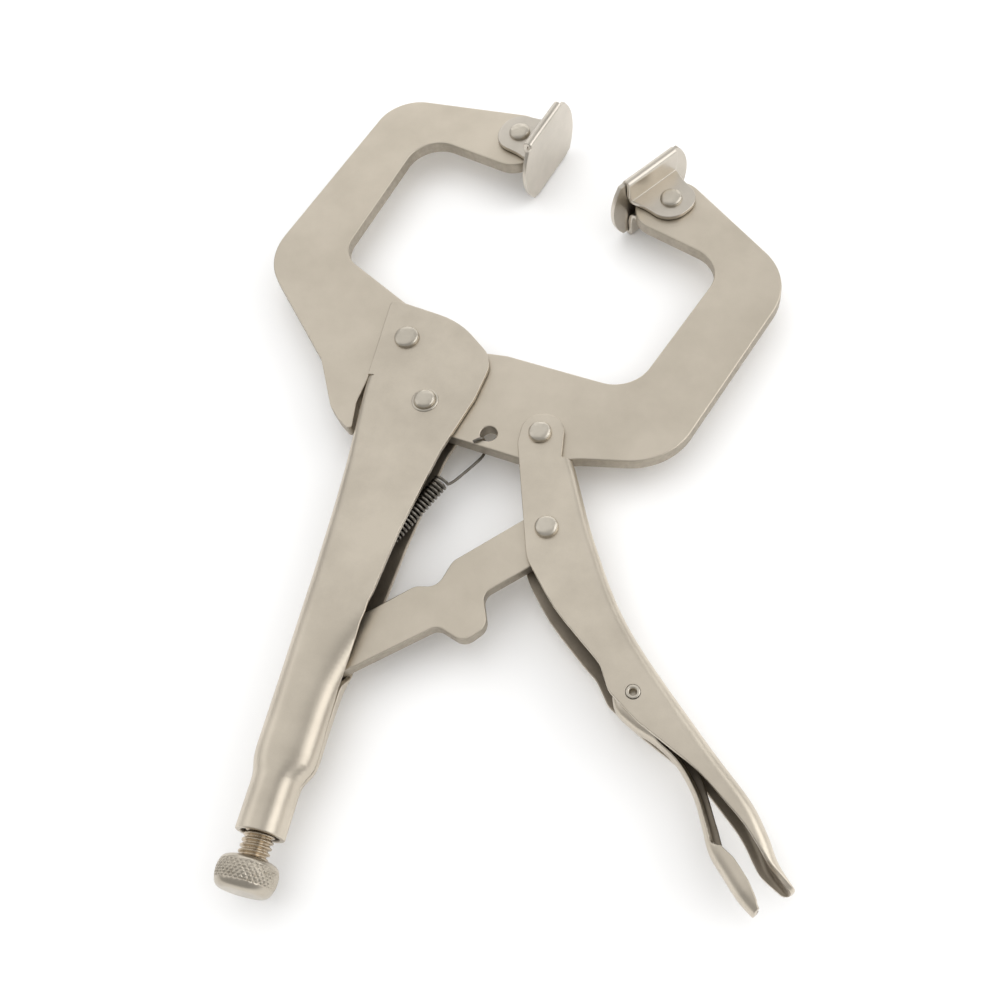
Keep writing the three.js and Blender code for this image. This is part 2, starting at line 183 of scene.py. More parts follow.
def makeTumbledPlating():
    # Fine tumbled grain under a thin plate, with slow tone changes and small pits.
    group, given, result = newGroup(
        "tumbledPlating",
        [("Grain Scale", "NodeSocketFloat", 2600.0), ("Grain Depth", "NodeSocketFloat", 0.5),
         ("Tone Scale", "NodeSocketFloat", 45.0), ("Light Tone", "NodeSocketColor", (0.7, 0.66, 0.58, 1)),
         ("Dark Tone", "NodeSocketColor", (0.6, 0.56, 0.49, 1)), ("Smooth", "NodeSocketFloat", 0.3),
         ("Rough", "NodeSocketFloat", 0.42)],
        [("Color", "NodeSocketColor"), ("Roughness", "NodeSocketFloat"), ("Height", "NodeSocketFloat")])
    coords = group.nodes.new("ShaderNodeTexCoord").outputs["Object"]
    grain = noiseNode(group, coords, given.outputs["Grain Scale"], 4, 0.6)
    peen = noiseNode(group, coords, 900, 2)
    tone = noiseNode(group, coords, given.outputs["Tone Scale"], 5, 0.6)
    toneSpread = group.nodes.new("ShaderNodeMapRange")
    toneSpread.inputs["From Min"].default_value = 0.35
    toneSpread.inputs["From Max"].default_value = 0.65
    group.links.new(tone, toneSpread.inputs["Value"])
    speck = mathNode(group, "MULTIPLY", mathNode(group, "SUBTRACT", grain, 0.5), 0.5)
    blend = mathNode(group, "ADD", toneSpread.outputs["Result"], speck)
    mix = group.nodes.new("ShaderNodeMix")
    mix.data_type = "RGBA"
    group.links.new(blend, mix.inputs["Factor"])
    group.links.new(given.outputs["Dark Tone"], mix.inputs["A"])
    group.links.new(given.outputs["Light Tone"], mix.inputs["B"])
    group.links.new(mix.outputs["Result"], result.inputs["Color"])
    span = mathNode(group, "SUBTRACT", given.outputs["Rough"], given.outputs["Smooth"])
    slowPart = mathNode(group, "MULTIPLY", tone, 0.4)
    unevenness = mathNode(group, "ADD", mathNode(group, "MULTIPLY", grain, 0.6), slowPart)
    roughness = mathNode(group, "MULTIPLY_ADD", unevenness, span, given.outputs["Smooth"])
    group.links.new(roughness, result.inputs["Roughness"])
    dents = mathNode(group, "MULTIPLY", peen, 0.5)
    grit = mathNode(group, "MULTIPLY", grain, given.outputs["Grain Depth"])
    group.links.new(mathNode(group, "ADD", grit, dents), result.inputs["Height"])
    return group


def makeHandlingMarks():
    # Short hairline scratches that run every way, and a few rubbed patches.
    group, given, result = newGroup(
        "handlingMarks",
        [("Amount", "NodeSocketFloat", 0.3), ("Scale", "NodeSocketFloat", 220.0)],
        [("Scratches", "NodeSocketFloat"), ("Rubbed", "NodeSocketFloat")])
    coords = group.nodes.new("ShaderNodeTexCoord").outputs["Object"]
    strokes = None
    for turn, stretch in ((0.5, 22), (1.7, 30), (2.6, 18)):
        mapping = group.nodes.new("ShaderNodeMapping")
        mapping.inputs["Rotation"].default_value = (0, 0, turn)
        mapping.inputs["Scale"].default_value = (1, stretch, 1)
        group.links.new(coords, mapping.inputs["Vector"])
        streak = noiseNode(group, mapping.outputs["Vector"], given.outputs["Scale"], 1)
        line = mathNode(group, "GREATER_THAN", streak, 0.74)
        strokes = line if strokes is None else mathNode(group, "MAXIMUM", strokes, line)
    scratches = mathNode(group, "MULTIPLY", strokes, given.outputs["Amount"])
    group.links.new(scratches, result.inputs["Scratches"])
    patch = noiseNode(group, coords, 70, 3)
    group.links.new(mathNode(group, "MULTIPLY", patch, given.outputs["Amount"]), result.inputs["Rubbed"])
    return group


def makeShearedEdgeAndShade():
    # The upright edge of a stamped plate is rougher than its flats and drawn darker: partly the cut edge's
    # own duller, dirtier grey, partly painted shade for the floor's contact shadow.
    group, given, result = newGroup(
        "shearedEdgeAndShade",
        [("Color", "NodeSocketColor", (0.6, 0.56, 0.49, 1)), ("Amount", "NodeSocketFloat", 0.4)],
        [("Color", "NodeSocketColor"), ("Edge", "NodeSocketFloat")])
    coords = group.nodes.new("ShaderNodeTexCoord")
    split = group.nodes.new("ShaderNodeSeparateXYZ")
    group.links.new(coords.outputs["Normal"], split.inputs[0])
    # Darker the more upright the face: painted shade on top of the cut edge's own duller grey.
    upright = group.nodes.new("ShaderNodeMapRange")
    upright.inputs["From Min"].default_value = 0.75
    upright.inputs["From Max"].default_value = 0.15
    group.links.new(mathNode(group, "ABSOLUTE", split.outputs["Z"]), upright.inputs["Value"])
    tear = noiseNode(group, coords.outputs["Object"], 700, 3)
    unevenTearAndShade = mathNode(group, "MULTIPLY_ADD", tear, 0.7, 0.6)
    tornAndShadedPart = mathNode(group, "MULTIPLY", upright.outputs["Result"], unevenTearAndShade)
    edge = mathNode(group, "MULTIPLY", tornAndShadedPart, given.outputs["Amount"])
    # The dark colour mixed in on upright faces is partly painted shade.
    shade = group.nodes.new("ShaderNodeMix")
    shade.data_type = "RGBA"
    shade.inputs["B"].default_value = (0.16, 0.14, 0.115, 1)
    group.links.new(edge, shade.inputs["Factor"])
    group.links.new(given.outputs["Color"], shade.inputs["A"])
    group.links.new(shade.outputs["Result"], result.inputs["Color"])
    group.links.new(edge, result.inputs["Edge"])
    return group


tumbledPlating = makeTumbledPlating()
shearedEdgeAndShade = makeShearedEdgeAndShade()
handlingMarks = makeHandlingMarks()

finishes = {
    "satinPlate": {
        "light": (0.675, 0.61, 0.512), "dark": (0.60, 0.54, 0.448), "smooth": 0.34, "rough": 0.50,
        "grain": 2400, "depth": 0.6, "bump": 0.10, "marks": 0.25, "shearedAndShaded": 0.45},
    "rolledSheet": {
        "light": (0.69, 0.625, 0.525), "dark": (0.585, 0.527, 0.44), "smooth": 0.30, "rough": 0.46,
        "grain": 2000, "depth": 0.5, "bump": 0.14, "marks": 0.2, "shearedAndShaded": 0.0},
    # The fold's inner faces get this darker colour: painted shade for the shade that falls in the channel.
    "channelInsidePaintedShade": {
        "light": (0.42, 0.365, 0.295), "dark": (0.28, 0.24, 0.19), "smooth": 0.40, "rough": 0.58,
        "grain": 2000, "depth": 0.7, "bump": 0.12, "marks": 0.1, "shearedAndShaded": 0.0},
    "padSheet": {
        "light": (0.66, 0.61, 0.54), "dark": (0.56, 0.52, 0.455), "smooth": 0.24, "rough": 0.38,
        "grain": 2200, "depth": 0.5, "bump": 0.09, "marks": 0.3, "shearedAndShaded": 0.0},
    "rivetSteel": {
        "light": (0.68, 0.63, 0.545), "dark": (0.56, 0.515, 0.44), "smooth": 0.30, "rough": 0.46,
        "grain": 2600, "depth": 0.4, "bump": 0.09, "marks": 0.2, "shearedAndShaded": 0.0},
    "screwSteel": {
        "light": (0.62, 0.565, 0.48), "dark": (0.44, 0.395, 0.325), "smooth": 0.22, "rough": 0.40,
        "grain": 2600, "depth": 0.6, "bump": 0.10, "marks": 0.1, "shearedAndShaded": 0.0},
    "threadSteel": {
        "light": (0.66, 0.565, 0.44), "dark": (0.40, 0.33, 0.245), "smooth": 0.20, "rough": 0.36,
        "grain": 2600, "depth": 0.6, "bump": 0.10, "marks": 0.1, "shearedAndShaded": 0.0},
    "springWire": {
        "light": (0.26, 0.24, 0.21), "dark": (0.15, 0.135, 0.115), "smooth": 0.26, "rough": 0.42,
        "grain": 3000, "depth": 0.5, "bump": 0.08, "marks": 0.1, "shearedAndShaded": 0.0},
}


def makeMetal(name, look):
    metal = bpy.data.materials.new(name)
    metal.use_nodes = True
    tree = metal.node_tree
    shader = tree.nodes["Principled BSDF"]
    plating = tree.nodes.new("ShaderNodeGroup")
    plating.node_tree = tumbledPlating
    plating.inputs["Grain Scale"].default_value = look["grain"]
    plating.inputs["Grain Depth"].default_value = look["depth"]
    plating.inputs["Light Tone"].default_value = (*look["light"], 1)
    plating.inputs["Dark Tone"].default_value = (*look["dark"], 1)
    plating.inputs["Smooth"].default_value = look["smooth"]
    plating.inputs["Rough"].default_value = look["rough"]
    marks = tree.nodes.new("ShaderNodeGroup")
    marks.node_tree = handlingMarks
    marks.inputs["Amount"].default_value = look["marks"]
    roughness = mathNode(tree, "MULTIPLY_ADD", marks.outputs["Scratches"], 0.2, plating.outputs["Roughness"])
    height = mathNode(tree, "SUBTRACT", plating.outputs["Height"], marks.outputs["Scratches"])
    bump = tree.nodes.new("ShaderNodeBump")
    bump.inputs["Strength"].default_value = look["bump"]
    bump.inputs["Distance"].default_value = 0.0002
    tree.links.new(height, bump.inputs["Height"])
    tree.links.new(bump.outputs["Normal"], shader.inputs["Normal"])
    if look["shearedAndShaded"]:
        # Upright plate edges are darkened: partly the cut edge's own duller grey, partly painted shade.
        edges = tree.nodes.new("ShaderNodeGroup")
        edges.node_tree = shearedEdgeAndShade
        edges.inputs["Amount"].default_value = look["shearedAndShaded"]
        tree.links.new(plating.outputs["Color"], edges.inputs["Color"])
        tree.links.new(edges.outputs["Color"], shader.inputs["Base Color"])
        roughness = mathNode(tree, "MULTIPLY_ADD", edges.outputs["Edge"], 0.35, roughness)
    else:
        tree.links.new(plating.outputs["Color"], shader.inputs["Base Color"])
    tree.links.new(roughness, shader.inputs["Roughness"])
    shader.inputs["Metallic"].default_value = 1.0
    return metal


metals = {name: makeMetal(name, look) for name, look in finishes.items()}
print("finishes ready")

# Ways of making a piece: stamp and fold a sheet, or turn a profile.


def smoothStep(low, high, value):
    share = min(max((value - low) / (high - low), 0.0), 1.0)
    return share * share * (3 - 2 * share)


def roundedOutline(corners, stepDegrees=5.0):
    # Corner points [x, y, radius] become a closed run of points with a true arc at each corner.
    points = []
    count = len(corners)
    for i, (x, y, radius) in enumerate(corners):
        corner = Vector((x, y))
        if not radius:
            points.append((x, y))
            continue
        before = (Vector(corners[i - 1][:2]) - corner).normalized()
        after = (Vector(corners[(i + 1) % count][:2]) - corner).normalized()
        half = math.acos(max(-1.0, min(1.0, before.dot(after)))) / 2
        centre = corner + (before + after).normalized() * (radius / math.sin(half))
        first = corner + before * (radius / math.tan(half)) - centre
        last = corner + after * (radius / math.tan(half)) - centre
        start = math.atan2(first.y, first.x)
        sweep = (math.atan2(last.y, last.x) - start + math.pi) % (2 * math.pi) - math.pi
        steps = max(2, round(abs(math.degrees(sweep)) / stepDegrees))
        for k in range(steps + 1):
            angle = start + sweep * k / steps
            points.append((centre.x + radius * math.cos(angle), centre.y + radius * math.sin(angle)))
    return points


def roundHole(x, y, radius, sides=48):
    turns = [2 * math.pi * k / sides for k in range(sides)]
    return [(x + radius * math.cos(turn), y + radius * math.sin(turn)) for turn in turns]


def spacedOut(loop, longest):
    # Long straight runs get extra points, so that they can bend with the sheet.
    points = []
    for (x0, y0), (x1, y1) in zip(loop, loop[1:] + loop[:1]):
        parts = max(1, math.ceil(math.hypot(x1 - x0, y1 - y0) / longest))
        points += [(x0 + (x1 - x0) * k / parts, y0 + (y1 - y0) * k / parts) for k in range(parts)]
    return points


def stampedBlank(loops, thickness, edgeRadius, edgeSteps=2):
    # A flat blank with rounded edges, in millimetres, cut to the first loop with the others as holes.
    curve = bpy.data.curves.new("blank", "CURVE")
    curve.dimensions = "2D"
    curve.fill_mode = "BOTH"
    curve.extrude = thickness / 2 - edgeRadius
    curve.bevel_depth = edgeRadius
    curve.bevel_resolution = edgeSteps
    curve.offset = -edgeRadius
    for loop in loops:
        spline = curve.splines.new("POLY")
        spline.points.add(len(loop) - 1)
        for point, (x, y) in zip(spline.points, loop):
            point.co = (x, y, 0, 1)
        spline.use_cyclic_u = True
    holder = bpy.data.objects.new("blank", curve)
    bpy.context.scene.collection.objects.link(holder)
    bpy.context.view_layer.update()
    mesh = bpy.data.meshes.new_from_object(holder.evaluated_get(bpy.context.evaluated_depsgraph_get()))
    bpy.data.objects.remove(holder)
    bpy.data.curves.remove(curve)
    return mesh


def scoreAndBend(mesh, xCuts, yCuts, toPoint, paintedShadeBelow=None):
    # Cuts the blank's faces along straight lines, then moves every point to its place.
    # Faces lower than the given height become the fold's inner faces and get the second material, a darker
    # colour painted as the shade that falls in the channel.
    work = bmesh.new()
    work.from_mesh(mesh)
    bmesh.ops.remove_doubles(work, verts=work.verts, dist=0.0005)
    for axis, cuts in ((0, xCuts), (1, yCuts)):
        for cut in cuts:
            where = Vector((cut, 0, 0)) if axis == 0 else Vector((0, cut, 0))
            normal = Vector((1, 0, 0)) if axis == 0 else Vector((0, 1, 0))
            everything = work.verts[:] + work.edges[:] + work.faces[:]
            bmesh.ops.bisect_plane(work, geom=everything, dist=0.0005, plane_co=where, plane_no=normal)
    for face in work.faces:
        inPaintedShade = paintedShadeBelow is not None and face.calc_center_median().z < paintedShadeBelow
        face.material_index = 1 if inPaintedShade else 0
    for vertex in work.verts:
        vertex.co = toPoint(*vertex.co)
    bmesh.ops.recalc_face_normals(work, faces=work.faces)
    work.to_mesh(mesh)
    work.free()
    return mesh


def finishPiece(name, mesh, finish, body, nodes=(), sharpAngle=38, insideShade=None):
    mesh.name = name
    while len(mesh.materials):
        mesh.materials.pop()
    mesh.materials.append(metals[finish])
    # The second material paints the fold's inner faces darker, as painted shade.
    if insideShade:
        mesh.materials.append(metals[insideShade])
    mesh.shade_smooth()
    mesh.set_sharp_from_angle(angle=math.radians(sharpAngle))
    piece = bpy.data.objects.new(name, mesh)
    bpy.context.scene.collection.objects.link(piece)
    evenNormals = piece.modifiers.new("evenNormals", "WEIGHTED_NORMAL")
    evenNormals.keep_sharp = True
    if body:
        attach(piece, body)
    if nodes:
        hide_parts(*nodes)
    return piece


def faceOutwards(mesh):
    work = bmesh.new()
    work.from_mesh(mesh)
    bmesh.ops.recalc_face_normals(work, faces=work.faces)
    work.to_mesh(mesh)
    work.free()


def turnedMesh(profile, around, toPoint):
    # A profile of (radius, height) points turned round an axis; radius 0 closes an end.
    vertices, faces, rings = [], [], []
    for radius, height in profile:
        if radius == 0:
            rings.append([len(vertices)])
            vertices.append(toPoint(0, 0, height))
            continue
        ring = []
        for k in range(around):
            angle = 2 * math.pi * k / around
            ring.append(len(vertices))
            vertices.append(toPoint(radius * math.cos(angle), radius * math.sin(angle), height))
        rings.append(ring)
    for low, high in zip(rings, rings[1:]):
        for k in range(around):
            n = (k + 1) % around
            if len(low) == 1:
                faces.append((low[0], high[k], high[n]))
            elif len(high) == 1:
                faces.append((low[k], high[0], low[n]))
            else:
                faces.append((low[k], high[k], high[n], low[n]))
    mesh = bpy.data.meshes.new("turned")
    mesh.from_pydata(vertices, [], faces)
    faceOutwards(mesh)
    return mesh


class Guide:
    # A smooth line through a few points, measured by its length and carried on straight at both ends.
    def __init__(self, points, steps=40):
        knots = [Vector(p) for p in points]
        ends = [2 * knots[0] - knots[1]] + knots + [2 * knots[-1] - knots[-2]]
        self.points = []
        for a, b, c, d in zip(ends, ends[1:], ends[2:], ends[3:]):
            for k in range(steps):
                t = k / steps
                bow, twist = 2 * a - 5 * b + 4 * c - d, 3 * b - a - 3 * c + d
                self.points.append(0.5 * (2 * b + (c - a) * t + bow * t * t + twist * t ** 3))
        self.points.append(ends[-2])
        self.lengths = [0.0]
        for a, b in zip(self.points, self.points[1:]):
            self.lengths.append(self.lengths[-1] + (b - a).length)
        self.length = self.lengths[-1]

    def at(self, distance):
        if distance <= 0:
            direction = (self.points[1] - self.points[0]).normalized()
            return self.points[0] + direction * distance, direction
        if distance >= self.length:
            direction = (self.points[-1] - self.points[-2]).normalized()
            return self.points[-1] + direction * (distance - self.length), direction
        low, high = 0, len(self.lengths) - 1
        while high - low > 1:
            middle = (low + high) // 2
            low, high = (middle, high) if self.lengths[middle] <= distance else (low, middle)
        share = (distance - self.lengths[low]) / (self.lengths[high] - self.lengths[low])
        behind, ahead = self.points[max(low - 1, 0)], self.points[min(low + 2, len(self.points) - 1)]
        direction = (ahead - behind).normalized()
        return self.points[low].lerp(self.points[high], share), direction

    def measure(self, point):
        # The distance along the line and the distance to its right, for a point near it.
        point = Vector(point)
        nearest = min(range(len(self.points)), key=lambda i: (self.points[i] - point).length_squared)
        distance = self.lengths[nearest]
        for _ in range(12):
            where, direction = self.at(distance)
            distance += (point - where).dot(direction)
        where, direction = self.at(distance)
        return distance, (point - where).dot(Vector((direction.y, -direction.x)))


# The two C-jaws and the toggle link are stamped from plate.

pliers = {"plateThickness": 4.5, "linkThickness": 3.8, "sheet": 1.6, "wallInside": 2.55, "padSheet": 1.5}

fixedJaw = {
    "outline": [
        [15.8, 122.0, 11], [-45.3, 126.0, 15], [-69.8, 48.2, 20], [-38.2, 11.6, 8], [-29.8, -5.2, 6],
        [-25.5, -9.6, 5], [-20.5, -13.5, 1.0], [-21.9, -2.5, 8], [-20.65, 7.3, 0.3], [-18.4, 8.9, 0.5],
        [-15.5, 8.9, 2], [-5.5, 16, 3], [-3.5, 31.5, 3], [-16.0, 36.1, 4], [-44.2, 53.8, 10],
        [-30.6, 109.7, 11.3], [8.45, 96.9, 9]],
    "holes": [(-12, 22, 2.75), (3.5, 112.6, 2.55)],
    "edgeRadius": 0.45,
}
movableJaw = {
    "outline": [
        [-5.5, 11.6, 7], [-11.6, -6.4, 8], [38, -15.2, 12], [50, -11.7, 20], [76.5, -8.9, 20],
        [103.3, 63.0, 21], [59.4, 103.6, 10], [43.7, 83.1, 9], [81.6, 66.1, 11.2], [61.2, 14.3, 12],
        [20.5, 21.3, 8], [9, 21.4, 5]],
    "holes": [(0, 0, 2.85), (37.4, -5.8, 2.55), (21.7, -7.4, 2.6), (60, 89.3, 2.55)],
    "edgeRadius": 0.45,
}
toggleLink = {
    "outline": [
        [46.4, -26.4, 7], [21.6, -50.5, 6], [19.2, -59.0, 4.5], [13.0, -60.0, 4], [-12.4, -82.5, 4.5],
        [-13.2, -95.2, 4.1], [-7.6, -95.2, 3], [22.4, -70.7, 3.5], [31.0, -74.2, 4], [36.2, -68.2, 4.5],
        [32.7, -58.8, 3.5], [44.5, -47.8, 0], [56.4, -36.9, 7]],
    "holes": [(46.2, -36.5, 2.55)],
    "edgeRadius": 0.4,
}


def makePlate(name, plate, thickness, body, node):
    loops = [roundedOutline(plate["outline"], 4)] + [roundHole(*hole) for hole in plate["holes"]]
    blank = stampedBlank(loops, thickness, plate["edgeRadius"], 3)
    mesh = scoreAndBend(blank, [], [], place)
    return finishPiece(name, mesh, "satinPlate", body, [node])


makePlate("fixedJawPlate", fixedJaw, pliers["plateThickness"], "fixed_frame", "fixed_jaw")
makePlate("movableJawPlate", movableJaw, pliers["plateThickness"], "moving_jaw_body", "movable_jaw")
makePlate("toggleLinkPlate", toggleLink, pliers["linkThickness"], "link_body", "toggle_link")
print("plates stamped")

# The two handles are folded from sheet.


def channelPoint(section, s, lift):
    # Walks round a channel's section from the middle of its back: s is the distance in the sheet
    # and lift the height above its middle surface.  A section is half height, corner radius,
    # width, whether it is left unfolded, and how much wider than high its far curl is.
    # Returns the distance from the back's outer face, and the height.
    half, radius, _, unfolded, _ = section
    t = pliers["sheet"] / 2
    halfMid, bend = half - t, max(radius - t, 0.3)
    side = 1 if s >= 0 else -1
    s = abs(s)
    backEnd = halfMid - bend
    bendEnd = backEnd + bend * math.pi / 2
    wide, flatEnd, pace = farCurl(section)
    if s >= bendEnd or unfolded:
        across, up = t + bend + (s - bendEnd), halfMid
        nAcross, nUp = 0.0, 1.0
        if s > flatEnd:
            curl = (s - flatEnd) / pace
            centre = t + bend + (flatEnd - bendEnd)
            if curl <= math.pi / 2:
                across, up = centre + wide * math.sin(curl), halfMid - bend + bend * math.cos(curl)
                nAcross, nUp = bend * math.sin(curl), wide * math.cos(curl)
                size = math.hypot(nAcross, nUp)
                nAcross, nUp = nAcross / size, nUp / size
            else:
                across, up = centre + wide, halfMid - bend - (s - flatEnd - pace * math.pi / 2)
                nAcross, nUp = 1.0, 0.0
    elif s <= backEnd:
        across, up, nAcross, nUp = t, s, -1.0, 0.0
    else:
        angle = (s - backEnd) / bend
        across, up = t + bend - bend * math.cos(angle), backEnd + bend * math.sin(angle)
        nAcross, nUp = -math.cos(angle), math.sin(angle)
    return across + nAcross * lift, side * (up + nUp * lift)


def farCurl(section):
    # The far curl's half width, the sheet distance where it starts, and its pace per radian.
    half, radius, far, _, stretch = section
    t = pliers["sheet"] / 2
    bend = max(radius - t, 0.3)
    wide = bend * stretch
    bendEnd = half - t - bend + bend * math.pi / 2
    flatEnd = bendEnd + max(far - t - wide - (t + bend), 0.0)
    return wide, flatEnd, math.sqrt((wide ** 2 + bend ** 2) / 2)


def wallDistance(section, across):
    # The sheet distance at which a wall has got this far from the back.
    half, radius = section[:2]
    t = pliers["sheet"] / 2
    bend = max(radius - t, 0.3)
    bendEnd = half - t - bend + bend * math.pi / 2
    wide, flatEnd, pace = farCurl(section)
    flat = t + bend + flatEnd - bendEnd
    if across > flat:
        return flatEnd + pace * math.asin(min((across - flat) / wide, 1.0))
    return bendEnd + (across - t - bend)


fixedHandle = {
    "stations": [  # Y, back X, far X, half height, corner radius, far curl's stretch
        (40, -20.5, 60, 4.15, 1.6, 1), (7, -20.5, 60, 4.15, 1.6, 1), (-12, -19.7, 50, 4.15, 2.8, 1),
        (-26, -18.4, 36, 5.0, 3.4, 1), (-44, -17.4, 22, 6.2, 4.2, 1.1), (-62, -17.0, 11, 6.8, 5.0, 1.4),
        (-70, -16.9, 8, 7.0, 5.2, 1.8), (-82, -16.8, 3.4, 7.1, 5.4, 2.1), (-94, -16.8, 0.9, 7.1, 5.8, 1.9),
        (-104, -16.8, 0.6, 7.1, 6.0, 1.65), (-113, -16.8, 0.6, 7.1, 6.1, 1.6),
        (-116.5, -16.6, 0.3, 7.0, 6.2, 1.5), (-121.5, -15.6, -1.95, 6.75, 6.7, 1),
        (-124, -15.55, -2.05, 6.75, 6.75, 1), (-140, -15.55, -2.05, 6.75, 6.75, 1)],
    "cheek": [
        [-20.6, 6.85, 0], [-21.2, 36.4, 2], [3, 30.8, 28], [17.1, 18.2, 10], [15.0, 3.3, 12],
        [9.4, -16.5, 22], [5.0, -46, 60], [3.05, -67.5, 0]],
    "nearLip": [
        (-67.5, 6.75), (-72, 6.33), (-75, 5.94), (-80, 4.84), (-85, 3.81), (-90.5, 2.8), (-97, 2.0),
        (-103.5, 1.5), (-109.5, 1.0), (-115, 0.5), (-120, 0.15), (-136, 0.12)],
    "farLip": [
        (-67.5, 6.75), (-72, 6.33), (-75, 5.94), (-80, 4.84), (-85, 3.8), (-88, 3.0), (-90, 0.9), (-92, -0.9),
        (-94, -1.5), (-97, -1.4), (-103.5, -0.95), (-109.5, -0.5), (-115, 0.0), (-120, 0.15), (-136, 0.12)],
    "backStart": 6.7, "cheekFoot": 6.85, "lipsStart": -67.5, "tubeEnd": -135.8,
    "holes": [(-12, 22, 2.75), (0, 0, 2.85)],
    "edgeRadius": 0.3,
}


def smoothTable(rows, y):
    # Reads a table of rows that start with Y, falling, and joins them without corners.
    for i, (before, after) in enumerate(zip(rows, rows[1:])):
        if y >= after[0]:
            share = min(max((before[0] - y) / (before[0] - after[0]), 0.0), 1.0)
            older = rows[max(i - 1, 0)]
            newer = rows[min(i + 2, len(rows) - 1)]
            values = []
            for a, b, c, d in zip(older[1:], before[1:], after[1:], newer[1:]):
                rise = 0.0 if (b - a) * (c - b) <= 0 else (c - a) / 2
                fall = 0.0 if (c - b) * (d - c) <= 0 else (d - b) / 2
                limit = 1.5 * abs(c - b)
                rise, fall = max(-limit, min(limit, rise)), max(-limit, min(limit, fall))
                t2, t3 = share * share, share ** 3
                slopes = rise * (t3 - 2 * t2 + share) + fall * (t3 - t2)
                values.append(b * (2 * t3 - 3 * t2 + 1) + c * (3 * t2 - 2 * t3) + slopes)
            return values
    return list(rows[-1][1:])


def makeFixedHandle():
    slit = (fixedHandle["backStart"] + fixedHandle["cheekFoot"]) / 2

    def sectionAt(y):
        back, far, half, corner, stretch = smoothTable(fixedHandle["stations"], y)
        return back, (half, corner, far - back, y > slit, stretch)

    def toSheet(x, y):
        back, section = sectionAt(y)
        return wallDistance(section, x - back), y

    cheek = spacedOut(roundedOutline(fixedHandle["cheek"], 5), 1.5)
    foot = next(i for i, (x, y) in enumerate(cheek) if y < fixedHandle["lipsStart"] + 0.1)
    top = fixedHandle["backStart"]
    _, section = sectionAt(top)
    bendEnd = wallDistance(section, section[1])

    def halfBlank(lipTable):
        edge = [(0.2, top)] + [(bendEnd * k / 6, top) for k in range(1, 7)]
        edge += [(bendEnd + 0.15, top), (bendEnd + 0.15, fixedHandle["cheekFoot"])]
        edge += [toSheet(x, y) for x, y in cheek[:foot]]
        y = fixedHandle["lipsStart"] - 1
        while y > fixedHandle["tubeEnd"] - 1.4:
            y = max(y, fixedHandle["tubeEnd"])
            _, section = sectionAt(y)
            half, corner = section[:2]
            _, flatEnd, pace = farCurl(section)
            low = half - corner  # where the curl has come right round
            lip = smoothTable(lipTable, y)[0]
            if lip > low:
                curled = pace * math.acos(min((lip - low) / corner, 1.0))
            else:
                curled = pace * math.pi / 2 + low - lip
            edge.append((flatEnd + curled, y))
            y -= 1.5
        return edge

    farHalf = halfBlank(fixedHandle["farLip"])
    loop = halfBlank(fixedHandle["nearLip"]) + [(-s, y) for s, y in reversed(farHalf)]
    holes = []
    for x, y, radius in fixedHandle["holes"]:
        s, down = toSheet(x, y)
        holes += [roundHole(s, down, radius), roundHole(-s, down, radius)]
    blank = stampedBlank([loop] + holes, pliers["sheet"], fixedHandle["edgeRadius"])

    def bend(s, y, lift):
        back, section = sectionAt(y)
        across, up = channelPoint(section, s, lift)
        return place(back + across, y, up)

    sCuts = [k * 0.55 for k in range(-44, 45)]
    yCuts = [slit] + [5 - 2.5 * k for k in range(33)] + [-78.5 - 1.6 * k for k in range(36)]
    mesh = scoreAndBend(blank, sCuts, yCuts, bend, -0.4)
    return finishPiece(
        "fixedHandleChannel", mesh, "rolledSheet", "fixed_frame", ["fixed_handle"], 50, "channelInsidePaintedShade")


def makeGuidedChannel(name, channel, body, node, nearAndFar):
    # nearAndFar(toSheet, guide, sectionAt) returns the blank's edge on the near and on the far side.
    guide = Guide(channel["back"])
    table = [(-share, *rest) for share, *rest in channel["sections"]]

    def sectionAt(distance):
        half, radius = smoothTable(table, -distance / guide.length)
        return half, radius, 80.0, False, 1

    def toSheet(x, y):
        distance, across = guide.measure((x, y))
        return wallDistance(sectionAt(distance), across * channel["side"]), distance

    near, far = nearAndFar(toSheet, guide, sectionAt)
    loop = near + [(-s, distance) for s, distance in reversed(far)]
    holes = []
    for x, y, radius in channel["holes"]:
        s, distance = toSheet(x, y)
        holes += [roundHole(s, distance, radius, 32), roundHole(-s, distance, radius, 32)]
    blank = stampedBlank([loop] + holes, pliers["sheet"], channel["edgeRadius"])

    def bend(s, distance, lift):
        across, up = channelPoint(sectionAt(distance), s, lift)
        where, direction = guide.at(distance)
        spot = where + Vector((direction.y, -direction.x)) * (across * channel["side"])
        return place(spot.x, spot.y, up)

    sCuts = [k * 0.5 for k in range(-14, 15)]
    rows = math.ceil((guide.length - channel["cutFrom"]) / 1.6)
    dCuts = [channel["cutFrom"] + 1.6 * k for k in range(rows + 2)]
    mesh = scoreAndBend(blank, sCuts, dCuts, bend, -0.4)
    return finishPiece(name, mesh, "rolledSheet", body, [node], 50, "channelInsidePaintedShade")


